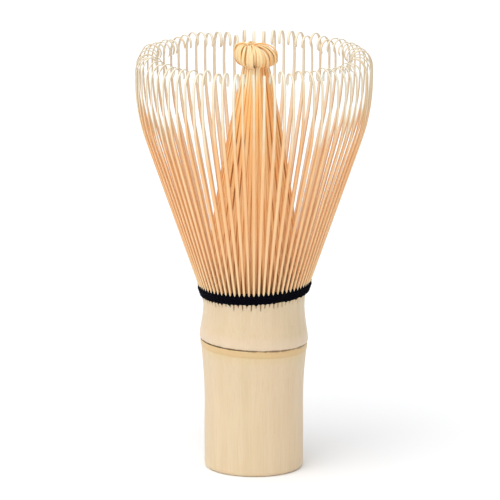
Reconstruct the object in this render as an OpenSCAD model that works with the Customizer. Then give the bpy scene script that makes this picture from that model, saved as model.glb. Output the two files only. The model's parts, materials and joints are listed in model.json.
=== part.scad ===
// Bamboo tea whisk: one length of culm whose upper half is split into a ring of outer tines
// with curled tips and an inner core of tines, held apart by a wound thread.
// Millimetres, +Z up, origin at the middle of the foot.

/* [Handle] */
// Outer diameter of the lower internode at its waist
culm_d = 20.3; // [18:0.1:26]
// Thickness of the culm's wall in the lower internode
culm_wall = 3.3; // [2:0.1:4.5]
// Height of the lower internode, from the foot to the sheath scar
handle_h = 27.1; // [20:0.1:60]
// Rounding of the foot's outer edge
foot_round = 0.8; // [0.2:0.1:1.5]

/* [Node] */
// Height of the smooth band just under the sheath scar
band_h = 1.5; // [1:0.1:3]
// How far that band stands out from the waist
band_step = 0.85; // [0.3:0.05:1.5]
// How far the ridge above the scar stands out from the waist
ridge_step = 1; // [0.5:0.05:2]
// Height of the ridge above the scar
ridge_h = 0.6; // [0.4:0.1:2]
// Depth of the fine grooves at the scar and under the band
groove = 0.12; // [0.05:0.01:0.3]
// Thickness of the septum that closes the culm at the node
septum_t = 1.8; // [1:0.1:3]
// How far the septum's edge grows into the culm's wall
septum_root = 0.6; // [0.3:0.1:1.2]
// How far the septum domes upwards in its middle
septum_dome = 0.4; // [0:0.1:1]

/* [Collar] */
// Height of the upper internode, from the scar to where the tines begin to lean
collar_h = 6.9; // [5:0.1:14]
// How far the collar's neck stands out from the waist
neck_step = 0.25; // [-0.5:0.05:1]
// Height of solid wood above the neck, below the slits
slit_lift = 1.2; // [0.6:0.1:2.4]
// Free height of the slits, below the thread's first lacing turn
slit_free = 1.2; // [0.6:0.1:2]
// Narrowest gap between the roots of the outer and the inner tines
kerf_gap = 0.12; // [0.08:0.01:0.3]
// Depth of that gap below the slits
kerf_depth = 0.3; // [0.1:0.05:0.6]

/* [Outer tines] */
// Tines in each group that flexes together
tines_per_group = 3; // [1:1:4]
// Width of an outer tine
outer_w = 0.5; // [0.3:0.05:0.65]
// Thickness of an outer tine where it leaves the collar
outer_t = 0.45; // [0.3:0.05:0.6]
// Thickness of an outer tine at its tip
outer_tip_t = 0.18; // [0.1:0.02:0.3]
// Lean of the outer tines from the vertical, in degrees
lean = 19.2; // [10:0.1:24]
// Height over which the outer tines bend out to that lean
flare_h = 3; // [2:0.1:5]
// Straight length of an outer tine between that bend and the bow at its top
straight_l = 34.5; // [20:0.1:60]
// Radius of the bow that brings an outer tine upright
bow_r = 37; // [20:0.5:60]
// Upright run between the bow and the curl
upright_l = 2.1; // [0.5:0.1:8]
// Radius of the curl's wide start
lead_r = 5; // [3:0.1:8]
// Radius of the curled tip
curl_r = 1.9; // [1:0.05:3]
// Turn of the curled tip past the wide start, in degrees
curl_turn = 175; // [90:1:200]

/* [Inner tines] */
// Width of an inner tine
inner_w = 0.42; // [0.25:0.01:0.5]
// Thickness of an inner tine at its root
inner_t = 0.4; // [0.25:0.01:0.5]
// Thickness of an inner tine at its tip
inner_tip_t = 0.24; // [0.15:0.01:0.3]
// Diameter of the core's neck, under the curled tips
core_neck_d = 5.8; // [5:0.1:9]
// Height of the neck above the top of the thread
core_l = 44.4; // [25:0.1:70]
// Radius of the curl of the inner tips
core_curl_r = 2; // [1.2:0.1:3]
// Diameter of the curled knot of inner tips
core_knot_d = 9.1; // [7:0.1:12]
// Turn of the inner tips past their widest point, in degrees
core_turn = 122; // [60:1:140]

/* [Thread] */
// Diameter of the thread
thread_d = 0.4; // [0.25:0.01:0.44]
// Turns of thread wound over the outer tines
binding_turns = 4; // [2:1:6]
// Gap between the thread and the wood, and between turns
thread_gap = 0.02; // [0:0.01:0.05]
// Diameter of the knot that ends the thread, hidden between the two sets of tines
knot_d = 0.9; // [0.5:0.05:1]

/* [Flexing] */
// Gap between an outer tine's fixed root and the length that flexes
flex_gap = 0.15; // [0.1:0.01:0.3]
// Gap between the sides of two inner tines where they crowd together
core_gap = 0.03; // [0.02:0.01:0.08]

/* [Hidden] */
$fn = 96;
OUTER_GROUPS = 24;
INNER_GROUPS = 12;
function pad(i) = str(i < 10 ? "0" : "", i);
function outer_name(g) = str("outer_tines_", pad(g + 1));
function inner_name(g) = str("inner_tines_", pad(g + 1));

tine_count = OUTER_GROUPS * tines_per_group;
inner_per_group = tine_count / INNER_GROUPS;
pitch_a = 360 / tine_count;

// Culm
culm_r = culm_d / 2;
bore_r = culm_r - culm_wall;
neck_r = culm_r + neck_step;
neck_z = handle_h + collar_h;
slit_z = neck_z + slit_lift;
band_z = handle_h - band_h;
septum_z = handle_h - septum_t;

// Outer tines: their outer face bends out over the flare, and is then straight
flare_r = flare_h / sin(lean);
flare_end_z = neck_z + flare_h;
flare_end_r = neck_r + flare_r * (1 - cos(lean));
function outer_lean(z) = z < neck_z ? 0 : z > flare_end_z ? lean : asin((z - neck_z) / flare_r);
function outer_face_r(z) =
    z > flare_end_z ? flare_end_r + (z - flare_end_z) * tan(lean)
    : neck_r + flare_r * (1 - cos(outer_lean(z)));

// Thread: a lacing turn behind the outer tines, the binding over them, and a second lacing turn
turn_rise = thread_d + thread_gap;
lace_low_z = slit_z + slit_free + thread_d;
bind_low_z = lace_low_z + turn_rise;
bind_high_z = bind_low_z + binding_turns * turn_rise;
lace_high_z = bind_high_z + turn_rise;
function lace_r(z) = outer_face_r(z) - (outer_t + thread_gap + thread_d / 2) / cos(lean);
function bind_r(z) = (outer_face_r(z) + (thread_gap + thread_d / 2) / cos(lean)) / chord_share;
GAP_ANGLE = -90 - pitch_a / 2;
STEPS_PER_TURN = 36;
// A turn is made of straight steps, whose middles lie this share nearer the axis than their ends
chord_share = cos(180 / STEPS_PER_TURN);
THREAD_SIDES = 6;

// Height at which both sets of tines begin to flex, just over the thread
flex_z = lace_high_z + thread_d;

// Inner tines: their outer face clears the lower lacing turn, and the outer tines' roots
root_inside_r = outer_face_r(slit_z) - outer_t * cos(outer_lean(slit_z));
inner_face_r = min(
    lace_r(lace_low_z) * chord_share - thread_d / 2 - thread_gap,
    root_inside_r - kerf_gap
);
kerf_r = (inner_face_r + root_inside_r) / 2;

// A path is a list of [radius, height, heading]; headings are degrees from +Z towards the outside
function ahead(p, l) = [p[0] + l * sin(p[2]), p[1] + l * cos(p[2]), p[2]];
function arc(p, rad, turn, n) = [
    for (i = [1:n])
        let (a = p[2] + turn * i / n, s = rad * sign(turn))
            [p[0] + s * (cos(p[2]) - cos(a)), p[1] + s * (sin(a) - sin(p[2])), a]
];
function last(list) = list[len(list) - 1];
function run_length(path, i) =
    i == 0 ? 0 : run_length(path, i - 1)
        + norm([path[i][0] - path[i - 1][0], path[i][1] - path[i - 1][1]]);
function inward(p, t) = [p[0] - t * cos(p[2]), p[1] + t * sin(p[2])];

// A blade's outline: its outer face, and back along its inner face as it thins towards the tip
function blade(path, root_t, tip_t) =
    let (whole = run_length(path, len(path) - 1), n = len(path))
        concat(
            [for (p = path) [p[0], p[1]]],
            [
                for (k = [1:n])
                    let (i = n - k, share = run_length(path, i) / whole)
                        inward(path[i], root_t + (tip_t - root_t) * share)
            ]
        );

outer_start = [outer_face_r(flex_z), flex_z, lean];
outer_path = let (
    low = ahead(outer_start, flex_gap),
    high = ahead([flare_end_r, flare_end_z, lean], straight_l),
    bow = arc(high, bow_r, -lean, 6),
    top = ahead(last(bow), upright_l),
    lead = arc(top, lead_r, -35, 5),
    curl = arc(last(lead), curl_r, -curl_turn, 15)
) concat([low, high], bow, [top], lead, curl);

// A cubic curve from a to b along their headings, with its two handles' lengths
function curve(a, b, la, lb, n) =
    let (pa = ahead(a, la), pb = ahead(b, -lb))
    [
        for (i = [1:n])
            let (
                t = i / n,
                s = 1 - t,
                at = s * s * s * [a[0], a[1]] + 3 * s * s * t * [pa[0], pa[1]]
                    + 3 * s * t * t * [pb[0], pb[1]] + t * t * t * [b[0], b[1]],
                d = s * s * [pa[0] - a[0], pa[1] - a[1]]
                    + 2 * s * t * [pb[0] - pa[0], pb[1] - pa[1]]
                    + t * t * [b[0] - pb[0], b[1] - pb[1]]
            )
            [at[0], at[1], atan2(d[0], d[1])]
    ];

// The inner tines close in to the neck, swell, and curl over to the axis
CURL_ENTRY = 50;
CORE_LEAN = 4.5;
inner_start = [inner_face_r, flex_z, 0];
inner_path = let (
    neck = [core_neck_d / 2, flex_z + core_l, -12.5],
    curl_mid_r = core_knot_d / 2 - core_curl_r,
    entry = [
        curl_mid_r + core_curl_r * cos(CURL_ENTRY),
        neck[1] + core_curl_r * 1.15,
        CURL_ENTRY
    ],
    foot = [inner_face_r, flex_z, -CORE_LEAN],
    up = curve(foot, neck, core_l * 0.27, core_l * 0.27, 10),
    swell = curve(neck, entry, core_curl_r * 0.5, core_curl_r * 0.4, 5),
    curl = arc(entry, core_curl_r, -CURL_ENTRY - core_turn, 12)
) concat([inner_start], up, swell, curl);

// The culm's outside below the scar: a waist that flares to the band
function waist_face() =
    let (low = handle_h * 0.5, high = band_z, n = 10)
        [
            for (i = [0:n])
                let (t = i / n)
                    [culm_r + (band_step - groove) * pow(t, 1.7), low + (high - low) * t]
        ];

module handle() {
    color("burlywood") rotate_extrude()
        polygon(concat(
            [[bore_r, 0], [culm_r - foot_round, 0]],
            [
                for (a = [-75:15:0])
                    [culm_r - foot_round + foot_round * cos(a), foot_round + foot_round * sin(a)]
            ],
            waist_face(),
            [
                [culm_r + band_step, band_z + groove],
                [culm_r + band_step, handle_h - groove],
                [culm_r + band_step - groove, handle_h],
                [bore_r + septum_root, handle_h],
                [bore_r + septum_root, septum_z],
                [bore_r, septum_z]
            ]
        ));
}

module septum() {
    edge_r = bore_r + septum_root;
    color("tan") rotate_extrude()
        polygon([
            [0, septum_z + septum_dome], [bore_r, septum_z], [edge_r, septum_z],
            [edge_r, handle_h], [bore_r, handle_h], [0, handle_h + septum_dome]
        ]);
}

// The outer face of the collar and the tines' roots between two heights, as a path
function root_face(low, high, n) = [
    for (i = [0:n])
        let (z = low + (high - low) * i / n) [outer_face_r(z), z, outer_lean(z)]
];

module split_culm() {
    ridge_z = handle_h + ridge_h;
    fall = 10;
    kerf_z = slit_z - kerf_depth;
    neck = root_face(neck_z, kerf_z, 3);
    root_steps = 6;
    root = root_face(kerf_z, flex_z, root_steps);
    inside_r = inner_face_r - inner_t;
    rotate_extrude() polygon(concat(
        [
            [bore_r, handle_h],
            [culm_r + band_step, handle_h],
            [culm_r + ridge_step - groove / 2, handle_h + groove]
        ],
        [
            for (i = [0:fall - 1])
                let (t = i / fall)
                    [
                        culm_r + ridge_step - (ridge_step - neck_step) * pow(sin(90 * t), 1.4),
                        ridge_z + (neck_z - ridge_z) * t
                    ]
        ],
        [for (i = [0:2]) [neck[i][0], neck[i][1]]],
        [for (p = root) [p[0], p[1]]],
        [for (i = [root_steps:-1:1]) inward(root[i], outer_t)],
        [
            [root_inside_r, kerf_z], [inner_face_r, kerf_z],
            [inner_face_r, flex_z], [inside_r, flex_z],
            [inside_r, neck_z]
        ]
    ));
}

// A ring of slots that leave fingers of width w at radius at_r, between radii low_r and high_r
module slots(at_r, w, low_r, high_r, turn) {
    slot_w = 2 * at_r * tan(pitch_a / 2) - w;
    for (i = [0:tine_count - 1])
        rotate(i * pitch_a + turn)
            translate([low_r, -slot_w / 2, slit_z])
                cube([high_r - low_r, slot_w, flex_z - slit_z + 1]);
}

module collar() {
    color("burlywood") difference() {
        split_culm();
        slots(outer_face_r(flex_z), outer_w, kerf_r, neck_r + flare_h * 2, pitch_a / 2);
        slots(inner_face_r, inner_w, inner_face_r - inner_t * 3, kerf_r, 0);
    }
}

// The thread's route, as points: behind the outer tines, over them, and behind them again
function around(a, r, z) = [r * cos(a), r * sin(a), z];
function lace_turn(z, first, final) = [
    for (i = [first:final]) around(GAP_ANGLE + 360 * i / STEPS_PER_TURN, lace_r(z), z)
];
binding_route = [
    for (i = [0:STEPS_PER_TURN * binding_turns])
        let (z = bind_low_z + turn_rise * i / STEPS_PER_TURN)
            around(GAP_ANGLE + 360 * i / STEPS_PER_TURN, bind_r(z), z)
];
thread_route = concat(
    lace_turn(lace_low_z, 1, STEPS_PER_TURN),
    binding_route,
    lace_turn(lace_high_z, 0, STEPS_PER_TURN - 2)
);

// The knot swells inwards from the thread's end, as steps of [share of its length, share of its size]
KNOT_STEPS = [[0.15, 0.7], [0.35, 0.95], [0.6, 1], [0.85, 0.75], [1, 0.35]];
knot_low_a = GAP_ANGLE - 2 * 360 / STEPS_PER_TURN;
knot_arc = knot_d * 180 / (PI * lace_r(lace_high_z));
knot_route = [
    for (s = KNOT_STEPS)
        around(
            knot_low_a + knot_arc * s[0],
            lace_r(lace_high_z) - max(0, knot_d * s[1] - thread_d) / 2,
            lace_high_z
        )
];
knot_sizes = [for (s = KNOT_STEPS) knot_d * s[1]];

function unit(v) = v / norm(v);
function ring(route, i, d, sides) =
    let (
        n = len(route) - 1,
        along = unit(route[min(i + 1, n)] - route[max(i - 1, 0)]),
        side = unit(cross([0, 0, 1], along)),
        up = cross(along, side)
    )
    [
        for (k = [0:sides - 1])
            route[i] + d / 2 * (side * cos(360 * k / sides) + up * sin(360 * k / sides))
    ];

module sweep(route, sizes, sides) {
    n = len(route);
    points = [for (i = [0:n - 1]) each ring(route, i, sizes[i], sides)];
    walls = [
        for (i = [0:n - 2], k = [0:sides - 1])
            let (a = i * sides + k, b = i * sides + (k + 1) % sides)
                each [[a, a + sides, b], [b, a + sides, b + sides]]
    ];
    low_cap = [for (k = [0:sides - 1]) k];
    high_cap = [for (k = [1:sides]) n * sides - k];
    polyhedron(points, concat([low_cap], walls, [high_cap]));
}

module binding_thread() {
    color("black") sweep(
        concat(thread_route, knot_route),
        concat([for (p = thread_route) thread_d], knot_sizes),
        THREAD_SIDES
    );
}

// One tine: its outline, made as wide as w, in the half plane at angle a
module tine(outline, w, a) {
    rotate([90, 0, a]) translate([0, 0, -w / 2]) linear_extrude(w) polygon(outline);
}

module outer_tines(g) {
    middle = (tines_per_group - 1) / 2;
    color("wheat")
        for (k = [0:tines_per_group - 1])
            tine(
                blade(outer_path, outer_t, outer_tip_t), outer_w,
                (g * tines_per_group + k - middle) * pitch_a
            );
}

// The slice of space that one inner tine keeps to, so that the tips crowd without touching
module slice(a) {
    reach = inner_face_r + 1;
    half = reach * tan(pitch_a / 2);
    rotate(a) linear_extrude(flex_z + core_l * 2)
        translate([core_gap / 2 / tan(pitch_a / 2), 0])
            polygon([[0, 0], [reach, -half], [reach, half]]);
}

module inner_tines(g) {
    middle = (inner_per_group - 1) / 2;
    color("sandybrown")
        for (k = [0:inner_per_group - 1])
            let (a = (g * inner_per_group + k - middle) * pitch_a)
                intersection() {
                    tine(blade(inner_path, inner_t, inner_tip_t), inner_w, a);
                    slice(a);
                }
}

handle();
septum();
collar();
binding_thread();
for (g = [0:OUTER_GROUPS - 1])
    outer_tines(g);
for (g = [0:INNER_GROUPS - 1])
    inner_tines(g);
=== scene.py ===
import json
import math

import bpy
import numpy as np
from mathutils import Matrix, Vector


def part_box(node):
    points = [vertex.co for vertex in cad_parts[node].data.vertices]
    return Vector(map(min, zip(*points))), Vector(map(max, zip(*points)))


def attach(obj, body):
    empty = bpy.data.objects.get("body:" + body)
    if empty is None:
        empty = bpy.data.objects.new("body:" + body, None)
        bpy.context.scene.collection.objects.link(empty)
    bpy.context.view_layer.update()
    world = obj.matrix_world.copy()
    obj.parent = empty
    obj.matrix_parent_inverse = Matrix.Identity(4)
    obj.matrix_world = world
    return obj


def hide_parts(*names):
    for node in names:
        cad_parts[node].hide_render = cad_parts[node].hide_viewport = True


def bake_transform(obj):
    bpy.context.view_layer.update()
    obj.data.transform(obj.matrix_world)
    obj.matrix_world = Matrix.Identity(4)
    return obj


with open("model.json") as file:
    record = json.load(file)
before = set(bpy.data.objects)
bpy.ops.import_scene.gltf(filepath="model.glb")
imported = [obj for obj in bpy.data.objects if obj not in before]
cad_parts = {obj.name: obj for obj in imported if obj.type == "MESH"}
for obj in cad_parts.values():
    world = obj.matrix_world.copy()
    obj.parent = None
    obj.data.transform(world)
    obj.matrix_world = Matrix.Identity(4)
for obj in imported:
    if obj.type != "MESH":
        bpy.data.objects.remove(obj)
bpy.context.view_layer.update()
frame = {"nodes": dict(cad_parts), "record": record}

# ---------------------------------------------------------------------------------------------
# Sizes. Lengths are millimetres and angles degrees; MM turns them into the frame's metres.
# ---------------------------------------------------------------------------------------------
MM = 0.001
ROOT = "culm"
OUTER_GROUPS = 24
PER_GROUP = 3
INNER_GROUPS = 12
INNER_PER_GROUP = 6
TINES = OUTER_GROUPS * PER_GROUP
PITCH = 2 * math.pi / TINES


def top_mm(node):
    """Highest point of a CAD node."""
    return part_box(node)[1][2] / MM


def reach_mm(node):
    """Largest X of a CAD node, which is the radius of a round one."""
    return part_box(node)[1][0] / MM


BORE = next(m for m in frame["record"]["mounts"] if m["name"] == "handle_bore")
SCAR_Z = top_mm("handle")
BAND_R = reach_mm("handle")
BORE_R = BORE["dims"]["r_mm"]
ROOT_TOP_Z = top_mm("collar")
CORE_TOP_Z = top_mm("inner_tines_01")

# Culm: rounded foot, waist, flare, band, scar, ridge, neck, and the slits under the thread
FOOT_ROUND = 0.8
BORE_BEVEL = 0.25
WAIST_SHARE = 0.5
FLARE_OUT = 0.72
FLARE_POWER = 1.7
BAND_H = 1.5
BAND_STEP = 0.85
RIDGE_STEP = 1.0
RIDGE_H = 0.6
NECK_STEP = 0.25
NECK_H = 6.9
THREAD_DROP = 2.05
SPLIT_DROP = 0.75
SLIT_DROP = 1.7
SCAR_SLOPE = 0.040
BAND_Z = SCAR_Z - BAND_H
WAIST_R = BAND_R - BAND_STEP
RIDGE_R = WAIST_R + RIDGE_STEP
NECK_R = WAIST_R + NECK_STEP
NECK_Z = SCAR_Z + NECK_H
THREAD_Z = ROOT_TOP_Z - THREAD_DROP
SPLIT_Z = THREAD_Z - SPLIT_DROP
SLIT_LOW_Z = THREAD_Z - SLIT_DROP
INNER_ROOT_R = 9.9

# Outer tines: a flare and a straight lean, a bow to upright, and a lead into the curl
LEAN = 19.2
FLARE_H = 3.0
STRAIGHT_L = 34.5
BOW_R = 37.0
UPRIGHT_L = 2.1
LEAD_R = 5.0
LEAD_TURN = 35
CURL_R = 1.9
CURL_TURN = 175.0
OUTER_W = 0.47
OUTER_T = 0.48
OUTER_TIP_T = 0.19
SLIT_W = 0.14

# Inner tines: a cone that closes to a neck, a lobe over the neck, and a curl into the knot
CORE_NECK_R = 2.75
CORE_NECK_Z = CORE_TOP_Z - 5.45
CORE_NECK_LEAN = -12.5
CORE_ROOT_LEAN = -4.5
CORE_BEND_R = 0.6
CORE_LOBE_R = 1.7
CORE_CURL_R = 2.35
CORE_CURL_TURN = 124
CORE_SHIFT = 0.45
APEX_SHIFT = -1.25
KNOT_TILT = 0.11
KNOT_SINK = 0.3
LAYER_STEP = 0.40
INNER_W = 0.74
INNER_LAYER_W = 0.84
INNER_T = 0.34

# The knot: how its tips clump, and where two gaps and a hanging clump show from the front.
# CLUMP_SIZES gives clumps of 3 to 7 tines, and each gap is (azimuth, width).
FRONT = -90.0
CLUMP_SIZES = (3, 8)
CLUMP_SPREAD = 0.94
CLUMP_DROP = 0.22
KNOT_GAPS = ((FRONT - 30, 5), (FRONT - 2, 7))
KNOT_GAP_REACH = 16
KNOT_CLUMP = FRONT - 16
KNOT_CLUMP_REACH = 13
KNOT_CLUMP_DROP = 0.5

# Thread
THREAD_D = 0.37
THREAD_GAP = 0.03
THREAD_SLOPE = 0.043
THREAD_SLANT_R = 11
THREAD_ROWS = 4
THREAD_POINTS_PER_TINE = 12
ROW_RIPPLE = 0.03
ROW_BOB = 0.02
LACE_IN = 0.05
LACE_RIPPLE = 0.22
PLIES = 3
PLY_D = THREAD_D * 0.56
PLY_SIDES = 6
TWIST_L = 1.3
# Black teeth below the thread drop into the gaps between tines: thread in the kerfs, and painted
# kerf shade
DIP_DROP = 0.35
DIP_RANGE = (0.3, 1.5)
TOOTH_LIFT = 0.85
BACKING_OUT = 0.1
BACKING_IN = -0.25


# ---------------------------------------------------------------------------------------------
# Mesh tools
# ---------------------------------------------------------------------------------------------
def make_piece(name, verts, faces, material, floats=None, vectors=None, smooth=True):
    """A mesh object from points in millimetres, with named values kept at its points."""
    mesh = bpy.data.meshes.new(name)
    mesh.from_pydata((np.asarray(verts) * MM).tolist(), [], faces)
    mesh.materials.append(material)
    for key, values in (floats or {}).items():
        layer = mesh.attributes.new(key, "FLOAT", "POINT")
        layer.data.foreach_set("value", np.asarray(values, np.float32))
    for key, values in (vectors or {}).items():
        layer = mesh.attributes.new(key, "FLOAT_VECTOR", "POINT")
        layer.data.foreach_set("vector", np.asarray(values, np.float32).ravel())
    mesh.polygons.foreach_set("use_smooth", [smooth] * len(mesh.polygons))
    mesh.validate()
    mesh.update()
    piece = bpy.data.objects.new(name, mesh)
    bpy.context.scene.collection.objects.link(piece)
    return piece


def tube_faces(rings, sides, first=0):
    """Quads between rings of points, with a flat cap at each end."""
    faces = []
    for i in range(rings - 1):
        for k in range(sides):
            a, b = first + i * sides + k, first + i * sides + (k + 1) % sides
            faces.append((a, b, b + sides, a + sides))
    faces.append(tuple(first + k for k in reversed(range(sides))))
    faces.append(tuple(first + (rings - 1) * sides + k for k in range(sides)))
    return faces


# A strip's section: a square of side 1 with its corners cut, as (across, deep)
HALF = 0.5
BEVEL = 0.24
FLAT = HALF - BEVEL
SECTION = np.array([
    (-HALF, -FLAT), (-HALF, FLAT), (-FLAT, HALF), (FLAT, HALF),
    (HALF, FLAT), (HALF, -FLAT), (FLAT, -HALF), (-FLAT, -HALF),
])
TONE_GRAIN = 40


class Strips:
    """Collects swept strips of wood into one mesh, with the values that tine_material reads.

    Those are along (0 at the foot to 1 at the tip), tone (the strip's own shade), edge (1 at its
    cut sides), back (1 on its inner face) and grain (the place in the wood, in millimetres).
    """

    def __init__(self):
        self.verts, self.faces = [], []
        self.along, self.tone, self.edge, self.back, self.grain = [], [], [], [], []

    def add(self, path, width, depth, azimuth, tone, drift=0.0, shift=0.0):
        """Sweeps one strip along path, whose rows are (radius, height, heading).

        azimuth, drift (sideways) and shift (along +X) are one value each, or one for each row.
        """
        n = len(path)
        r, z, heading = path[:, 0], path[:, 1], np.radians(path[:, 2])
        run = np.concatenate([[0], np.cumsum(np.hypot(np.diff(r), np.diff(z)))])
        sides = len(SECTION)
        wide = SECTION[:, 0] * width[:, None]
        deep = SECTION[:, 1] * depth[:, None]
        across = wide + np.broadcast_to(drift, n)[:, None]
        rr = r[:, None] + np.cos(heading)[:, None] * deep
        zz = z[:, None] - np.sin(heading)[:, None] * deep
        ca = np.broadcast_to(np.cos(azimuth), n)[:, None]
        sa = np.broadcast_to(np.sin(azimuth), n)[:, None]
        x = rr * ca - across * sa + np.broadcast_to(shift, n)[:, None]
        pts = np.stack([x, rr * sa + across * ca, zz], 2).reshape(-1, 3)
        first = sum(len(v) for v in self.verts)
        self.verts.append(pts)
        self.faces += tube_faces(n, sides, first)
        self.along.append(np.repeat(run / run[-1], sides))
        self.tone.append(np.full(n * sides, tone))
        self.edge.append(np.tile((np.abs(SECTION[:, 0]) - FLAT) / BEVEL, n))
        self.back.append(np.tile(np.where(SECTION[:, 1] < 0, 1.0, 0.0), n))
        self.grain.append(np.stack([
            wide.ravel(), np.repeat(run, sides), deep.ravel() + tone * TONE_GRAIN], 1))

    def build(self, name, material):
        return make_piece(
            name, np.concatenate(self.verts), self.faces, material,
            floats={
                "along": np.concatenate(self.along),
                "tone": np.concatenate(self.tone),
                "edge": np.concatenate(self.edge),
                "back": np.concatenate(self.back),
            },
            vectors={"grain": np.concatenate(self.grain)},
        )


def arc(start, radius, turn, n):
    """Rows of (radius, height, heading) round an arc from the row start."""
    r0, z0, h0 = start
    h = h0 + turn * np.arange(1, n + 1) / n
    s = radius * math.copysign(1, turn)
    c0, s0 = math.cos(math.radians(h0)), math.sin(math.radians(h0))
    return np.stack([
        r0 + s * (c0 - np.cos(np.radians(h))),
        z0 + s * (np.sin(np.radians(h)) - s0),
        h,
    ], 1)


def line(start, length, n):
    """Rows along a straight run from the row start."""
    r0, z0, h0 = start
    d = length * np.arange(1, n + 1) / n
    a = math.radians(h0)
    return np.stack([r0 + d * math.sin(a), z0 + d * math.cos(a), np.full(n, h0)], 1)


def bezier(start, end, reach_a, reach_b, n):
    """Rows along a cubic that leaves start and meets end along their headings."""
    a, b = np.array(start[:2]), np.array(end[:2])
    ha, hb = math.radians(start[2]), math.radians(end[2])
    p = a + reach_a * np.array([math.sin(ha), math.cos(ha)])
    q = b - reach_b * np.array([math.sin(hb), math.cos(hb)])
    t = (np.arange(1, n + 1) / n)[:, None]
    s = 1 - t
    at = s**3 * a + 3 * s * s * t * p + 3 * s * t * t * q + t**3 * b
    d = s * s * (p - a) + 2 * s * t * (q - p) + t * t * (b - q)
    return np.column_stack([at, np.degrees(np.arctan2(d[:, 0], d[:, 1]))])


def run_along(path):
    """Length run from the first row to each row of a path."""
    return np.concatenate([[0], np.cumsum(np.hypot(*np.diff(path[:, :2], axis=0).T))])


def smoothstep(x, low, high):
    """0 below low and 1 above high, with a smooth rise between them."""
    t = np.clip((x - low) / (high - low), 0, 1)
    return t * t * (3 - 2 * t)


# ---------------------------------------------------------------------------------------------
# Materials
# ---------------------------------------------------------------------------------------------
class Nodes:
    """A material's node tree, with short calls for the nodes used here."""

    def __init__(self, name):
        self.material = bpy.data.materials.new(name)
        self.material.use_nodes = True
        self.tree = self.material.node_tree
        self.shader = self.tree.nodes["Principled BSDF"]

    def link(self, a, b):
        self.tree.links.new(a, b)

    def put(self, socket, value):
        if isinstance(value, bpy.types.NodeSocket):
            self.link(value, socket)
        else:
            socket.default_value = value

    def node(self, kind, **settings):
        made = self.tree.nodes.new(kind)
        for key, value in settings.items():
            setattr(made, key, value)
        return made

    def attribute(self, name, output="Fac"):
        return self.node("ShaderNodeAttribute", attribute_name=name).outputs[output]

    def position(self):
        return self.node("ShaderNodeTexCoord").outputs["Object"]

    def scaled(self, vector, scale):
        made = self.node("ShaderNodeVectorMath", operation="MULTIPLY")
        self.put(made.inputs[0], vector)
        made.inputs[1].default_value = scale
        return made.outputs[0]

    def math(self, operation, a, b=0.0, clamp=False):
        made = self.node("ShaderNodeMath", operation=operation, use_clamp=clamp)
        self.put(made.inputs[0], a)
        self.put(made.inputs[1], b)
        return made.outputs[0]

    def noise(self, vector, scale, detail=3.0, roughness=0.5):
        made = self.node("ShaderNodeTexNoise")
        self.put(made.inputs["Vector"], vector)
        made.inputs["Scale"].default_value = scale
        made.inputs["Detail"].default_value = detail
        made.inputs["Roughness"].default_value = roughness
        return made.outputs["Fac"]

    def voronoi(self, vector, scale):
        made = self.node("ShaderNodeTexVoronoi", feature="F1")
        self.put(made.inputs["Vector"], vector)
        made.inputs["Scale"].default_value = scale
        return made.outputs["Distance"]

    def ramp(self, value, stops):
        made = self.node("ShaderNodeValToRGB")
        self.put(made.inputs["Fac"], value)
        ramp = made.color_ramp
        while len(ramp.elements) < len(stops):
            ramp.elements.new(0.5)
        for element, (place, colour) in zip(ramp.elements, stops):
            element.position = place
            element.color = (*colour, 1)
        return made.outputs["Color"]

    def remap(self, value, low, high, to_low=0.0, to_high=1.0):
        made = self.node("ShaderNodeMapRange", clamp=True)
        made.interpolation_type = "SMOOTHSTEP"
        self.put(made.inputs["Value"], value)
        made.inputs["From Min"].default_value = low
        made.inputs["From Max"].default_value = high
        made.inputs["To Min"].default_value = to_low
        made.inputs["To Max"].default_value = to_high
        return made.outputs["Result"]

    def mix(self, factor, a, b, blend="MIX"):
        made = self.node("ShaderNodeMix", data_type="RGBA", blend_type=blend)
        self.put(made.inputs["Factor"], factor)
        for socket, value in ((made.inputs["A"], a), (made.inputs["B"], b)):
            self.put(socket, (*value, 1) if isinstance(value, tuple) else value)
        return made.outputs["Result"]

    def bump(self, height, distance, strength=1.0, normal=None):
        made = self.node("ShaderNodeBump")
        self.put(made.inputs["Height"], height)
        made.inputs["Distance"].default_value = distance * MM
        made.inputs["Strength"].default_value = strength
        if normal is not None:
            self.put(made.inputs["Normal"], normal)
        return made.outputs["Normal"]

    def finish(self, colour, roughness, normal=None, **values):
        self.put(self.shader.inputs["Base Color"], colour)
        self.put(self.shader.inputs["Roughness"], roughness)
        if normal is not None:
            self.put(self.shader.inputs["Normal"], normal)
        for key, value in values.items():
            self.shader.inputs[key.replace("_", " ")].default_value = value
        return self.material


SKIN_PALE = (0.74, 0.585, 0.385)
SKIN_DEEP = (0.70, 0.54, 0.335)
SKIN_PATCH = (0.76, 0.575, 0.38)
SKIN_FIBRE = (0.60, 0.435, 0.25)
SPECK_COLOUR = (0.42, 0.26, 0.13)
BAND_COLOUR = (0.70, 0.465, 0.205)
BAND_LINE = (0.52, 0.35, 0.16)
BELOW_BAND = (0.72, 0.53, 0.25)
SCAR_COLOUR = (0.16, 0.085, 0.035)
ABOVE_SCAR = (0.77, 0.615, 0.47)
# Painted shade for the slits in the collar
SLIT_PAINTED_SHADE = (0.22, 0.125, 0.06)
PITH = (0.70, 0.51, 0.29)
PITH_DOT = (0.33, 0.19, 0.09)
GLEAM = (0.97, 0.74, 0.43)
BACK_COLOUR = (0.88, 0.80, 0.66)

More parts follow.
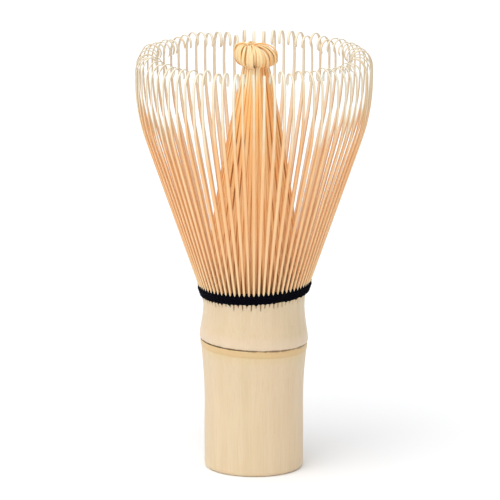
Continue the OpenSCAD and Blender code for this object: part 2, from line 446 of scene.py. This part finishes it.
# Colours along a tine, from 0 at its foot to 1 at its tip
OUTER_COLOURS = [
    (0.00, (0.94, 0.74, 0.45)),
    (0.10, (0.95, 0.69, 0.39)),
    (0.25, (0.95, 0.60, 0.31)),
    (0.66, (0.96, 0.585, 0.28)),
    (0.75, (0.93, 0.78, 0.54)),
    (0.86, (0.92, 0.84, 0.66)),
    (1.00, (0.92, 0.86, 0.70)),
]
# The inner tines darken towards their feet: painted shade inside the cone, near the thread
INNER_COLOURS_WITH_ROOT_SHADE = [
    (0.00, (0.24, 0.12, 0.04)),
    (0.11, (0.62, 0.36, 0.17)),
    (0.26, (0.95, 0.58, 0.28)),
    (0.75, (0.98, 0.55, 0.20)),
    (0.83, (0.97, 0.66, 0.31)),
    (0.90, (1.00, 0.84, 0.57)),
    (1.00, (1.00, 0.78, 0.44)),
]

# Near even over red, green and blue: the usual radius, mostly red, turns thin blades green.
EVEN_RADIUS = (0.6, 0.55, 0.5)


def tine_material(name, colours, gap_colour, edge_shade_colours, edge_shade_share, glow, back_share):
    """Pared bamboo: fibres along each tine, painted shade on its cut sides, a paler inner face.

    The colours run along the tine, and each tine has a shade of its own.
    """
    m = Nodes(name)
    along, tone = m.attribute("along"), m.attribute("tone")
    grain = m.attribute("grain", "Vector")
    fibre = m.noise(m.scaled(grain, (9.0, 0.16, 9.0)), 1.0, 4.0, 0.6)
    blotch = m.noise(m.scaled(grain, (0.3, 0.09, 0.3)), 1.0, 2.0)
    shifted = m.math("ADD", along, m.remap(blotch, 0.3, 0.7, -0.06, 0.06))
    shifted = m.math("ADD", shifted, m.remap(tone, 0.0, 0.8, 0.05, -0.07))
    colour = m.ramp(shifted, colours)
    colour = m.mix(m.remap(tone, 0.0, 1.0, 0.0, 0.45), colour, gap_colour, "MULTIPLY")
    streak = m.remap(fibre, 0.35, 0.7, 0.0, 0.35)
    colour = m.mix(streak, colour, gap_colour, "MULTIPLY")
    gleam = m.noise(m.scaled(grain, (0.5, 0.05, 0.5)), 1.0, 2.0)
    colour = m.mix(m.remap(gleam, 0.5, 0.68, 0.0, 0.35), colour, GLEAM)
    back = m.math("MULTIPLY", m.attribute("back"), back_share)
    colour = m.mix(back, colour, BACK_COLOUR)
    # Painted shade on the cut sides, where each strip faces its neighbours, tinted along the tine
    edge = m.math("MULTIPLY", m.attribute("edge"), edge_shade_share)
    colour = m.mix(edge, colour, m.ramp(along, edge_shade_colours), "MULTIPLY")
    normal = m.bump(fibre, 0.02, 0.5)
    roughness = m.remap(fibre, 0.3, 0.7, 0.42, 0.6)
    return m.finish(
        colour, roughness, normal,
        Subsurface_Weight=glow, Subsurface_Radius=EVEN_RADIUS, Subsurface_Scale=0.0005,
        Specular_IOR_Level=0.4,
    )


def culm_material(name):
    """The culm's smooth skin, with the node's band, its dark scar and the pith at the cut foot."""
    m = Nodes(name)
    place = m.position()
    xyz = m.node("ShaderNodeSeparateXYZ")
    m.link(place, xyz.inputs[0])
    tilt = m.math("MULTIPLY", xyz.outputs["X"], SCAR_SLOPE)
    height = m.math("ADD", xyz.outputs["Z"], tilt)
    fine = m.noise(m.scaled(place, (5200.0, 5200.0, 130.0)), 1.0, 4.0, 0.65)
    broad = m.noise(m.scaled(place, (420.0, 420.0, 34.0)), 1.0, 3.0, 0.5)
    patch = m.noise(m.scaled(place, (110.0, 110.0, 45.0)), 1.0, 2.0)
    base = m.mix(m.remap(broad, 0.32, 0.68), SKIN_PALE, SKIN_DEEP)
    base = m.mix(m.remap(patch, 0.35, 0.65, 0.0, 0.5), base, SKIN_PATCH)
    base = m.mix(m.remap(fine, 0.42, 0.74, 0.0, 0.38), base, SKIN_FIBRE)

    # Rare dark specks
    speck = m.voronoi(m.scaled(place, (620.0, 620.0, 150.0)), 1.0)
    rare = m.noise(m.scaled(place, (90.0, 90.0, 60.0)), 1.0, 1.0)
    spot = m.math("MULTIPLY", m.remap(speck, 0.03, 0.10, 1.0, 0.0), m.remap(rare, 0.52, 0.60))
    base = m.mix(m.math("MULTIPLY", spot, 0.4), base, SPECK_COLOUR)

    # The node's band, up to its scar
    band_low = m.remap(height, (BAND_Z - 0.5) * MM, (BAND_Z + 0.3) * MM)
    band_high = m.remap(height, (SCAR_Z - 0.1) * MM, (SCAR_Z + 0.05) * MM, 1.0, 0.0)
    band = m.math("MULTIPLY", band_low, band_high)
    base = m.mix(m.math("MULTIPLY", band, 0.8), base, BAND_COLOUR)

    # The scar, a dark line of uneven width
    ragged = m.noise(m.scaled(place, (900.0, 900.0, 500.0)), 1.0, 3.0)
    gap = m.math("ABSOLUTE", m.math("SUBTRACT", height, SCAR_Z * MM))
    width = m.remap(ragged, 0.3, 0.75, 0.00012, 0.0004)
    scar = m.math("SUBTRACT", 1.0, m.math("DIVIDE", gap, width), clamp=True)
    scar = m.math("POWER", scar, 0.6)
    base = m.mix(m.math("MULTIPLY", scar, 0.9), base, SCAR_COLOUR)

    # A fine line at the band's foot, a paler ridge above the scar, a warmer skin below the band
    under = m.math("ABSOLUTE", m.math("SUBTRACT", height, (BAND_Z + 0.05) * MM))
    base = m.mix(m.remap(under, 0.0, 0.00022, 0.45, 0.0), base, BAND_LINE)
    blush = m.math(
        "MULTIPLY", m.remap(height, SCAR_Z * MM, (SCAR_Z + 0.4) * MM),
        m.remap(height, (SCAR_Z + 1.2) * MM, (SCAR_Z + 3.2) * MM, 1.0, 0.0))
    base = m.mix(m.math("MULTIPLY", blush, 0.4), base, ABOVE_SCAR)
    glow = m.math(
        "MULTIPLY", m.remap(height, (BAND_Z - 2.2) * MM, BAND_Z * MM),
        m.remap(height, BAND_Z * MM, (BAND_Z + 0.2) * MM, 1.0, 0.0))
    base = m.mix(m.math("MULTIPLY", glow, 0.4), base, BELOW_BAND)

    # Painted shade in the slits, and the cut wood inside
    slit = m.attribute("slit")
    base = m.mix(m.math("MULTIPLY", slit, 0.85), base, SLIT_PAINTED_SHADE)
    inside = m.attribute("inside")
    dots = m.remap(m.voronoi(m.scaled(place, (1500.0, 1500.0, 25.0)), 1.0), 0.12, 0.3, 1.0, 0.0)
    pith = m.mix(m.math("MULTIPLY", dots, 0.6), PITH, PITH_DOT)
    base = m.mix(inside, base, pith)

    normal = m.bump(fine, 0.012, 0.5)
    normal = m.bump(broad, 0.05, 0.5, normal)
    roughness = m.remap(fine, 0.3, 0.7, 0.36, 0.5)
    return m.finish(
        base, roughness, normal,
        Subsurface_Weight=0.12, Subsurface_Scale=0.001, Coat_Weight=0.12, Coat_Roughness=0.35,
    )


def septum_material():
    """Soft, cloudy pith, rougher than the skin."""
    m = Nodes("septum_pith")
    place = m.position()
    cloud = m.noise(m.scaled(place, (700.0, 700.0, 700.0)), 1.0, 5.0, 0.6)
    fibre = m.noise(m.scaled(place, (2600.0, 500.0, 2600.0)), 1.0, 3.0)
    colour = m.ramp(cloud, [(0.3, (0.60, 0.42, 0.22)), (0.7, (0.78, 0.60, 0.38))])
    colour = m.mix(m.remap(fibre, 0.4, 0.7, 0.0, 0.4), colour, (0.5, 0.33, 0.17))
    return m.finish(colour, m.remap(cloud, 0.3, 0.7, 0.6, 0.8), m.bump(cloud, 0.12, 0.7))


def thread_material():
    """Black cotton, with fibres along each ply."""
    m = Nodes("black_thread")
    grain = m.attribute("grain", "Vector")
    fibre = m.noise(m.scaled(grain, (40.0, 6.0, 40.0)), 1.0, 3.0, 0.7)
    colour = m.ramp(fibre, [(0.3, (0.0008, 0.0008, 0.0016)), (0.75, (0.003, 0.003, 0.009))])
    normal = m.bump(fibre, 0.03, 0.8)
    return m.finish(
        colour, m.remap(fibre, 0.3, 0.7, 0.6, 0.85), normal,
        Sheen_Weight=0.01, Sheen_Roughness=0.4, Specular_IOR_Level=0.04,
    )


outer_wood = tine_material(
    "outer_tine_wood", OUTER_COLOURS, gap_colour=(0.86, 0.66, 0.46),
    edge_shade_colours=[(0.6, (0.80, 0.52, 0.30)), (0.78, (0.60, 0.54, 0.44))],
    edge_shade_share=0.7, glow=0.1, back_share=0.6)
inner_wood = tine_material(
    "inner_tine_wood", INNER_COLOURS_WITH_ROOT_SHADE, gap_colour=(0.88, 0.64, 0.42),
    edge_shade_colours=[(0.7, (0.88, 0.60, 0.34)), (0.85, (0.97, 0.64, 0.28))],
    edge_shade_share=0.75, glow=0.2, back_share=0.0)
culm_wood = culm_material("culm_skin")
pith_wood = septum_material()
black_thread = thread_material()


# ---------------------------------------------------------------------------------------------
# Culm: the handle and the collar, as turned surfaces that follow the node's tilt
# ---------------------------------------------------------------------------------------------
CULM_COLUMNS = 240
COLUMNS_PER_TINE = 14
TOP_INSET = 0.24
GROOVE_DEPTH = 0.4
SLIT_RNG = np.random.default_rng(5)
SLIT_START = SLIT_LOW_Z + 0.1 - 1.1 * SLIT_RNG.random(TINES) ** 2
SLIT_WANDER = 0.1 * SLIT_RNG.standard_normal(TINES)


def turned(name, outline, columns, shape, material):
    """A closed ring of surface: outline is rows of (radius, height, inside), and shape moves it."""
    rows = np.array(outline)
    n = len(rows)
    angle = 2 * math.pi * np.arange(columns) / columns
    a, radius = np.meshgrid(angle, rows[:, 0], indexing="ij")
    height = np.broadcast_to(rows[:, 1], radius.shape)
    inside = np.broadcast_to(rows[:, 2], radius.shape)
    radius, height, slit = shape(a, radius, height, inside)
    verts = np.stack([radius * np.cos(a), radius * np.sin(a), height], 2).reshape(-1, 3)
    faces = []
    for i in range(columns):
        for k in range(n):
            p, q = i * n + k, i * n + (k + 1) % n
            u, v = ((i + 1) % columns) * n + k, ((i + 1) % columns) * n + (k + 1) % n
            faces.append((p, u, v, q))
    return make_piece(
        name, verts, faces, material,
        floats={"inside": inside.ravel(), "slit": slit.ravel()},
    )


def profile_rows(points, spacing, inside=0.0):
    """Points along a polyline, spaced evenly, as rows of (radius, height, inside)."""
    rows = []
    for (r0, z0), (r1, z1) in zip(points[:-1], points[1:]):
        n = max(1, round(math.hypot(r1 - r0, z1 - z0) / spacing))
        for i in range(n):
            t = i / n
            rows.append((r0 + (r1 - r0) * t, z0 + (z1 - z0) * t, inside))
    return rows


def uneven(a, height):
    """Small departures from round, in millimetres."""
    oval = 0.07 * np.cos(2 * a + 0.7) + 0.03 * np.cos(3 * a + 2.1)
    drift = 0.05 * np.sin(0.23 * height + 1.3 * np.sin(a))
    ribs = 0.012 * np.sin(31 * a + 0.06 * height) + 0.009 * np.sin(53 * a + 2.0)
    return oval + drift + ribs


def scar_lift(a, radius, height):
    """How far a point near the node is raised, because the scar is cut on a slant."""
    below = smoothstep(height, SCAR_Z - 9, BAND_Z)
    near = below * (1 - smoothstep(height, SCAR_Z + 1, NECK_Z))
    return -SCAR_SLOPE * radius * np.cos(a) * near


def thread_lift(a, radius):
    """How far the thread is raised on one side, because it is wound on a slant."""
    return THREAD_SLOPE * radius * np.cos(a)


def handle_profile():
    """Rounded foot, straight waist, flare, band, and the bore back down to the foot."""
    waist_low = SCAR_Z * WAIST_SHARE
    top_z = SCAR_Z - 0.05
    foot_edge = [
        (WAIST_R - FOOT_ROUND * (1 - math.cos(t)), FOOT_ROUND * (1 - math.sin(t)))
        for t in np.radians(np.arange(90, -1, -15))
    ]
    flare = [
        (WAIST_R + FLARE_OUT * t**FLARE_POWER, waist_low + (BAND_Z - waist_low) * t)
        for t in np.linspace(0, 1, 14)
    ]
    band = [
        (BAND_R - 0.06, BAND_Z + 0.15), (BAND_R, BAND_Z + 0.5), (BAND_R, SCAR_Z - 0.3),
        (BAND_R - 0.04, SCAR_Z - 0.14), (BAND_R - TOP_INSET, top_z),
    ]
    outer = profile_rows(foot_edge + flare + band, 0.35)
    top = profile_rows([(BAND_R - TOP_INSET, top_z), (BORE_R, top_z)], 1.5, 1.0)
    bore = profile_rows([(BORE_R, top_z), (BORE_R, BORE_BEVEL)], 2.0, 1.0)
    bevel = [(BORE_R, BORE_BEVEL), (BORE_R + BORE_BEVEL, 0), (WAIST_R - FOOT_ROUND, 0)]
    foot = profile_rows(bevel, 0.5, 1.0)
    return outer + top + bore + foot


def shape_handle(a, radius, height, inside):
    """The handle's surface: not quite round, and slanted near the scar."""
    lift = scar_lift(a, radius, height) * (1 - inside)
    wall = radius + uneven(a, height) * np.where(radius > BORE_R + 1, 1, 0.3)
    return wall, height + lift, np.zeros_like(radius)


def collar_profile():
    """The lip over the scar, the ridge, the fall to the neck, the rise to the slits, the hollow."""
    ridge_z = SCAR_Z + RIDGE_H
    fall = [
        (
            RIDGE_R - (RIDGE_R - NECK_R) * math.sin(math.pi / 2 * t) ** 1.4,
            ridge_z + (NECK_Z - ridge_z) * t,
        )
        for t in np.linspace(0, 1, 14)
    ]
    lip = [
        (BAND_R - 0.2, SCAR_Z), (BAND_R + 0.02, SCAR_Z + 0.02), (RIDGE_R - 0.05, SCAR_Z + 0.22),
        (RIDGE_R - 0.01, SCAR_Z + 0.42),
    ]
    top_r = outer_face(SPLIT_Z)
    rise = [(outer_face(z), z) for z in np.linspace(NECK_Z + 0.4, SPLIT_Z - 0.1, 6)]
    outer = profile_rows(lip + fall + rise + [(top_r - 0.12, SPLIT_Z)], 0.16)
    inner_r = INNER_ROOT_R - 0.6
    crown = profile_rows([(top_r - 0.1, SPLIT_Z), (inner_r, SPLIT_Z)], 0.5, 1.0)
    hollow = profile_rows(
        [(inner_r, SPLIT_Z), (BORE_R, SCAR_Z), (BAND_R - 0.2, SCAR_Z)], 1.0, 1.0)
    return outer + crown + hollow


def outer_face(z):
    """Radius of the outer tines' outer face at a height near their roots."""
    flare_r = FLARE_H / math.sin(math.radians(LEAN))
    if z <= NECK_Z:
        return NECK_R
    if z < NECK_Z + FLARE_H:
        return NECK_R + flare_r - math.sqrt(flare_r**2 - (z - NECK_Z) ** 2)
    end = NECK_R + flare_r * (1 - math.cos(math.radians(LEAN)))
    return end + (z - NECK_Z - FLARE_H) * math.tan(math.radians(LEAN))


def shape_collar(a, radius, height, inside):
    """The collar's surface, with the start of each slit as a fine groove that deepens upwards."""
    index = np.mod(np.floor(a / PITCH), TINES).astype(int)
    start = SLIT_START[index]
    opened = np.clip((height - start) / (SPLIT_Z - start), 0, 1)
    off = np.abs(np.mod(a / PITCH, 1) - 0.5 - SLIT_WANDER[index] * (1 - opened))
    groove = np.clip(1.25 - off / (0.08 + 0.09 * opened), 0, 1)
    groove = groove * np.clip(opened * 3, 0, 1) * (1 - inside)
    rough = uneven(a, height) * (1 - smoothstep(height, NECK_Z - 2, SPLIT_Z))
    wall = radius + rough - GROOVE_DEPTH * groove
    lift = scar_lift(a, radius, height) * (1 - inside)
    lift += thread_lift(a, radius) * smoothstep(height, NECK_Z + 0.5, SPLIT_Z - 0.5)
    # The groove also goes out as the mask for the painted shade in the slits
    return wall, height + lift, groove


handle = turned(
    "handle_internode", handle_profile(), CULM_COLUMNS, shape_handle, culm_wood)
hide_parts("handle")
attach(handle, ROOT)

collar = turned(
    "collar_internode", collar_profile(), TINES * COLUMNS_PER_TINE, shape_collar, culm_wood)
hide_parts("collar")
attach(collar, ROOT)

frame["nodes"]["septum"].material_slots[0].material = pith_wood


# ---------------------------------------------------------------------------------------------
# Outer tines: each strip runs from its slit in the collar to its curled tip
# ---------------------------------------------------------------------------------------------
TINE_RNG = np.random.default_rng(21)


def outer_tine(strips, azimuth, rng):
    """Adds one outer tine, whose outer face follows outer_face at its root."""
    lean = LEAN + rng.normal(0, 0.12)
    curl_r = CURL_R * (1 + rng.normal(0, 0.06))
    curl_turn = CURL_TURN + rng.normal(0, 9)
    lead_turn = LEAD_TURN + rng.normal(0, 1.5)
    bow_r = BOW_R * (1 + rng.normal(0, 0.02))
    upright = UPRIGHT_L + rng.normal(0, 0.08)

    # Its outer face, from the slit to the tip
    root_z = np.linspace(SLIT_LOW_Z, NECK_Z + FLARE_H, 5)
    flare_r = FLARE_H / math.sin(math.radians(LEAN))
    heading = np.degrees(np.arcsin(np.clip((root_z - NECK_Z) / flare_r, 0, 1)))
    roots = np.stack([[outer_face(z) for z in root_z], root_z, heading], 1)
    start = (*roots[-1, :2], lean)
    straight = line(start, STRAIGHT_L, 44)
    bow = arc(straight[-1], bow_r, -lean, 14)
    top = line(bow[-1], upright, 3)
    lead = arc(top[-1], LEAD_R, -lead_turn, 8)
    curl = arc(lead[-1], curl_r, -curl_turn, 26)
    path = np.concatenate([roots, straight, bow, top, lead, curl])
    run = run_along(path)
    share = run / run[-1]
    z = path[:, 1]

    # Its width, which fills the room between two slits at the root, and its depth
    width = OUTER_W * (1 + rng.normal(0, 0.05)) * np.ones_like(share)
    at_root = 2 * math.tan(PITCH / 2) * path[:, 0] - SLIT_W
    pared = at_root + (width - at_root) * smoothstep(z, THREAD_Z - 0.4, THREAD_Z + 0.9)
    width = np.where(share < 0.5, pared, width)
    width *= 1 + 0.7 * smoothstep(share, 0.08, 0.35) - 0.57 * smoothstep(share, 0.55, 0.8)
    depth = OUTER_T + (OUTER_TIP_T - OUTER_T) * smoothstep(share, 0.5, 0.9)
    width[-2:] *= (0.8, 0.5)
    depth[-2:] *= (0.9, 0.6)

    # From the outer face to the middle of the strip
    inset = depth / 2 + 0.01 + 0.12 * (1 - smoothstep(z, SPLIT_Z - 0.3, SPLIT_Z + 0.6))
    h = np.radians(path[:, 2])
    path[:, 0] -= inset * np.cos(h)
    path[:, 1] += inset * np.sin(h)
    sway = rng.normal(0, 0.11) * smoothstep(share, 0.1, 0.8)
    tip_sway = rng.normal(0, 0.16) * smoothstep(share, 0.8, 1.0)
    strips.add(path, width, depth, azimuth, abs(rng.normal(0, 0.35)) % 1, drift=sway + tip_sway)


for g in range(OUTER_GROUPS):
    strips = Strips()
    for k in range(PER_GROUP):
        outer_tine(strips, (g * PER_GROUP + k - (PER_GROUP - 1) / 2) * PITCH, TINE_RNG)
    piece = strips.build(f"outer_blades_{g + 1:02d}", outer_wood)
    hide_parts(f"outer_tines_{g + 1:02d}")
    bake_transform(piece)


# ---------------------------------------------------------------------------------------------
# Inner tines: a cone of strips that closes to a neck and curls over into a knot
# ---------------------------------------------------------------------------------------------
CORE_RNG = np.random.default_rng(8)


def tip_clumps():
    """Each inner tine's azimuth at the neck, drawn into a clump, and how far the clump hangs."""
    sizes = []
    while sum(sizes) < TINES:
        sizes.append(int(CORE_RNG.integers(*CLUMP_SIZES)))
    sizes[-1] -= sum(sizes) - TINES
    azimuths, drops, first = [], [], 0
    for size in sizes:
        middle = (first + (size - 1) / 2 + 0.5) * PITCH
        drops += [CORE_RNG.normal(0, CLUMP_DROP)] * size
        for k in range(size):
            even = (first + k + 0.5) * PITCH
            azimuths.append(middle + (even - middle) * CLUMP_SPREAD)
        first += size
    return azimuths, drops


def knot_push(azimuth):
    """How far a tip is turned aside in the knot, where two gaps open towards the front."""
    turn = 0.0
    for centre, width in KNOT_GAPS:
        off = (azimuth - math.radians(centre) + math.pi) % (2 * math.pi) - math.pi
        push = math.radians(width) / 2 * math.exp(-(off / math.radians(KNOT_GAP_REACH)) ** 2)
        turn += math.copysign(push, off)
    return turn


def inner_tine(strips, index, tip_azimuth, drop, rng):
    """Adds one inner tine. Every second one closes in further, as a layer behind the others."""
    foot_azimuth = (index + 0.5) * PITCH
    layer = index % 2
    inset = LAYER_STEP * layer

    # Its outer face, from the collar to the tip inside the knot
    neck = (CORE_NECK_R - inset + rng.normal(0, 0.06), CORE_NECK_Z + rng.normal(0, 0.15),
            CORE_NECK_LEAN + rng.normal(0, 1.2))
    foot = (INNER_ROOT_R, SLIT_LOW_Z, 0)
    bent = (INNER_ROOT_R, ROOT_TOP_Z, CORE_ROOT_LEAN)
    roots = line(foot, ROOT_TOP_Z - foot[1], 5)
    up = bezier(bent, neck, 12.0, 12.0, 40)
    bend = arc(neck, CORE_BEND_R - 0.15 * layer, 88, 7)
    lobe_r = CORE_LOBE_R * (1 + rng.normal(0, 0.04))
    lobe = arc(bend[-1], lobe_r, -bend[-1, 2], 10)
    side = line(lobe[-1], 0.35, 2)
    curl_r = CORE_CURL_R * (1 + rng.normal(0, 0.03))
    curl = arc(side[-1], curl_r, -CORE_CURL_TURN + rng.normal(0, 9), 20)
    path = np.concatenate([[foot], roots, up, bend, lobe, side, curl])
    run = run_along(path)
    share = run / run[-1]
    z = path[:, 1]

    # Its width, as wide as there is room for, and its depth
    room = 2 * math.tan(PITCH / 2) * path[:, 0]
    width = np.minimum(INNER_W, room * 0.97) * (1 + rng.normal(0, 0.04))
    in_layer = np.minimum(INNER_LAYER_W, 2 * room)
    width = width + (in_layer - width) * smoothstep(z, 56, 72)
    at_tip = share > 0.9
    width[at_tip] = np.minimum(width[at_tip], 0.2 + room[at_tip] * 2.0)
    depth = INNER_T * (1 - 0.3 * smoothstep(share, 0.1, 0.9))
    width[-2:] *= (0.8, 0.55)

    # From the outer face to the middle of the strip
    inward = depth / 2
    h = np.radians(path[:, 2])
    path[:, 0] -= inward * np.cos(h)
    path[:, 1] += inward * np.sin(h)

    # Round to its clump, aside at the gaps, and over with the knot, which leans and hangs
    swirl = 0.25 * smoothstep(share, 0.92, 1.0)
    swirl = swirl + rng.normal(0, 0.02) * smoothstep(share, 0.6, 0.9)
    azimuth = foot_azimuth + (tip_azimuth - foot_azimuth) * smoothstep(share, 0.25, 0.85) + swirl
    azimuth += knot_push(tip_azimuth) * smoothstep(z, CORE_NECK_Z - 0.5, CORE_NECK_Z + 1.2)
    curled = smoothstep(run, run[-len(curl) - 1], run[-1])
    shift = CORE_SHIFT * smoothstep(z, 45, CORE_NECK_Z) + APEX_SHIFT * curled
    over_neck = smoothstep(path[:, 1], CORE_NECK_Z - 0.5, CORE_NECK_Z + 2)
    path[:, 1] -= (KNOT_TILT * path[:, 0] * np.cos(azimuth) + KNOT_SINK) * over_neck
    off_clump = (math.degrees(tip_azimuth) - KNOT_CLUMP + 180) % 360 - 180
    drop += KNOT_CLUMP_DROP * math.exp(-(off_clump / KNOT_CLUMP_REACH) ** 2)
    path[:, 1] -= drop * over_neck * (1 - curled)
    strips.add(path, width, depth, azimuth, abs(rng.normal(0, 0.4)) % 1, shift=shift)


tips, tip_drops = tip_clumps()
for g in range(INNER_GROUPS):
    strips = Strips()
    for k in range(INNER_PER_GROUP):
        index = g * INNER_PER_GROUP + k - INNER_PER_GROUP // 2
        tip = tips[index % TINES] - (TINES * PITCH if index < 0 else 0)
        inner_tine(strips, index, tip, tip_drops[index % TINES], CORE_RNG)
    piece = strips.build(f"inner_blades_{g + 1:02d}", inner_wood)
    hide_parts(f"inner_tines_{g + 1:02d}")
    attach(piece, ROOT)


# ---------------------------------------------------------------------------------------------
# Thread: plied rows wound over the outer tines, and lacing rows that dip between them
# ---------------------------------------------------------------------------------------------
PLY_GRAIN = 7
THREAD_RNG = np.random.default_rng(3)


def around(a, r, z):
    """Points at angles a round the axis, at radii r and heights z."""
    return np.stack([r * np.cos(a), r * np.sin(a), z], 1)


def thread_row(verts, faces, grain, route):
    """Lays the thread's twisted plies along a closed route of points, in millimetres."""
    n = len(route)
    ahead = np.roll(route, -1, 0) - np.roll(route, 1, 0)
    ahead /= np.linalg.norm(ahead, axis=1)[:, None]
    side = np.cross(ahead, np.array([0.0, 0.0, 1.0]))
    side /= np.linalg.norm(side, axis=1)[:, None]
    up = np.cross(side, ahead)
    length = np.linalg.norm(np.roll(route, -1, 0) - route, axis=1)
    run = np.concatenate([[0], np.cumsum(length)[:-1]])
    turns = round(length.sum() / TWIST_L)
    sides = PLY_SIDES
    for ply in range(PLIES):
        phase = 2 * math.pi * (turns * run / length.sum() + ply / PLIES)
        offset = (THREAD_D - PLY_D) / 2
        centre = route + offset * (np.cos(phase)[:, None] * side + np.sin(phase)[:, None] * up)
        first = sum(len(v) for v in verts)
        rim = 2 * math.pi * np.arange(sides) / sides
        ring = (
            centre[:, None, :]
            + PLY_D / 2 * (np.cos(rim)[None, :, None] * side[:, None, :]
                           + np.sin(rim)[None, :, None] * up[:, None, :])
        )
        verts.append(ring.reshape(-1, 3))
        for i in range(n):
            for k in range(sides):
                j = (i + 1) % n
                a, b = first + i * sides + k, first + i * sides + (k + 1) % sides
                c, d = first + j * sides + (k + 1) % sides, first + j * sides + k
                faces.append((a, d, c, b))
        grain.append(np.stack([
            np.tile(rim, n) + ply * PLY_GRAIN, np.repeat(run, sides), np.zeros(n * sides)], 1))


def build_thread():
    """The four wound rows, the lacing below and above them, and a dark backing behind them all."""
    verts, faces, grain = [], [], []
    n = TINES * THREAD_POINTS_PER_TINE
    a = 2 * math.pi * np.arange(n) / n
    over = np.cos(TINES * a)
    slant = THREAD_SLOPE * THREAD_SLANT_R * np.cos(a)
    # The dips hang the lower lacing and the backing into the gaps between tines: thread in the
    # kerfs, and painted kerf shade
    dip = THREAD_RNG.uniform(*DIP_RANGE, TINES)[np.floor(a / PITCH).astype(int) % TINES]
    dip = DIP_DROP * dip
    rows = [THREAD_Z + (i - (THREAD_ROWS - 1) / 2) * (THREAD_D + THREAD_GAP)
            for i in range(THREAD_ROWS)]
    for z0 in rows:
        z = z0 + slant + ROW_BOB * over
        face = np.array([outer_face(v) for v in z])
        r = face + THREAD_D / 2 + ROW_RIPPLE * over
        thread_row(verts, faces, grain, around(a, r, z))
    for z0, lift in ((rows[0] - 0.02, -dip), (rows[-1] + 0.1, TOOTH_LIFT)):
        z = z0 + slant + lift * (1 - over) / 2
        face = np.array([outer_face(v) for v in z])
        thread_row(verts, faces, grain, around(a, face - LACE_IN + LACE_RIPPLE * over, z))
    low = rows[0] - 0.1 - dip * (1 - over) / 2
    high = rows[-1] + 0.1 + TOOTH_LIFT * (1 - over) / 2
    corners = [(low, BACKING_IN), (low, BACKING_OUT), (high, BACKING_OUT), (high, BACKING_IN)]
    first = sum(len(v) for v in verts)
    back = []
    for z0, out in corners:
        z = z0 + slant
        back.append(around(a, np.array([outer_face(v) for v in z]) + out, z))
    verts.append(np.stack(back, 1).reshape(-1, 3))
    grain.append(verts[-1])
    for i in range(n):
        j = (i + 1) % n
        for k in range(4):
            p, q = first + i * 4 + k, first + i * 4 + (k + 1) % 4
            u, v = first + j * 4 + k, first + j * 4 + (k + 1) % 4
            faces.append((p, u, v, q))
    return make_piece(
        "wound_thread", np.concatenate(verts), faces, black_thread,
        vectors={"grain": np.concatenate(grain)},
    )


thread = build_thread()
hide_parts("binding_thread")
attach(thread, ROOT)


# ---------------------------------------------------------------------------------------------
# Stage: floor, light and camera
# ---------------------------------------------------------------------------------------------
def floor_material():
    """Plain pale card, a little uneven in tone."""
    m = Nodes("floor_card")
    place = m.position()
    soft = m.noise(m.scaled(place, (9.0, 9.0, 9.0)), 1.0, 2.0)
    colour = m.ramp(soft, [(0.3, (0.955, 0.965, 0.98)), (0.7, (0.97, 0.98, 0.995))])
    return m.finish(colour, 0.85, Specular_IOR_Level=0.1)


FLOOR_HALF = 4.0
floor = make_piece(
    "floor",
    np.array([(-1, -1, 0), (1, -1, 0), (1, 1, 0), (-1, 1, 0)]) * FLOOR_HALF / MM,
    [(0, 1, 2, 3)], floor_material(), smooth=False,
)


def aim(thing, at):
    """Turns a light or a camera to look at a point."""
    thing.rotation_euler = (at - thing.location).to_track_quat("-Z", "Y").to_euler()


MIDDLE = Vector((0, 0, 0.045))
KEY_FROM = Vector((-0.24, -0.42, 0.875))
key_data = bpy.data.lights.new("key", "SUN")
key_data.energy = 1.35
key_data.angle = math.radians(50)
key_data.color = (1.0, 0.985, 0.96)
key = bpy.data.objects.new("key", key_data)
key.location = MIDDLE + KEY_FROM
bpy.context.scene.collection.objects.link(key)
aim(key, MIDDLE)

world = bpy.data.worlds.new("studio")
world.use_nodes = True
sky = world.node_tree
place = sky.nodes.new("ShaderNodeTexCoord")
parts = sky.nodes.new("ShaderNodeSeparateXYZ")
fall_off = sky.nodes.new("ShaderNodeMapRange")
sky.links.new(place.outputs["Generated"], parts.inputs[0])
sky.links.new(parts.outputs["X"], fall_off.inputs["Value"])
for socket, value in (("From Min", 0.1), ("From Max", 0.9), ("To Min", 0.87), ("To Max", 0.5)):
    fall_off.inputs[socket].default_value = value
sky.nodes["Background"].inputs["Color"].default_value = (0.97, 0.985, 1.0, 1)
sky.links.new(fall_off.outputs["Result"], sky.nodes["Background"].inputs["Strength"])
bpy.context.scene.world = world
bpy.context.scene.view_settings.view_transform = "Standard"

CAMERA_DISTANCE = 1.3
CAMERA_ELEVATION = 13.75
CAMERA_LENS = 454.0
AIM_AT = Vector((-0.0008, 0, 0.0459))
tilt = math.radians(CAMERA_ELEVATION)
camera_data = bpy.data.cameras.new("camera")
camera_data.lens = CAMERA_LENS
camera_data.clip_start = 0.05
camera_data.clip_end = 50
camera = bpy.data.objects.new("camera", camera_data)
camera.location = AIM_AT + CAMERA_DISTANCE * Vector((0, -math.cos(tilt), math.sin(tilt)))
bpy.context.scene.collection.objects.link(camera)
aim(camera, AIM_AT)
bpy.context.scene.camera = camera
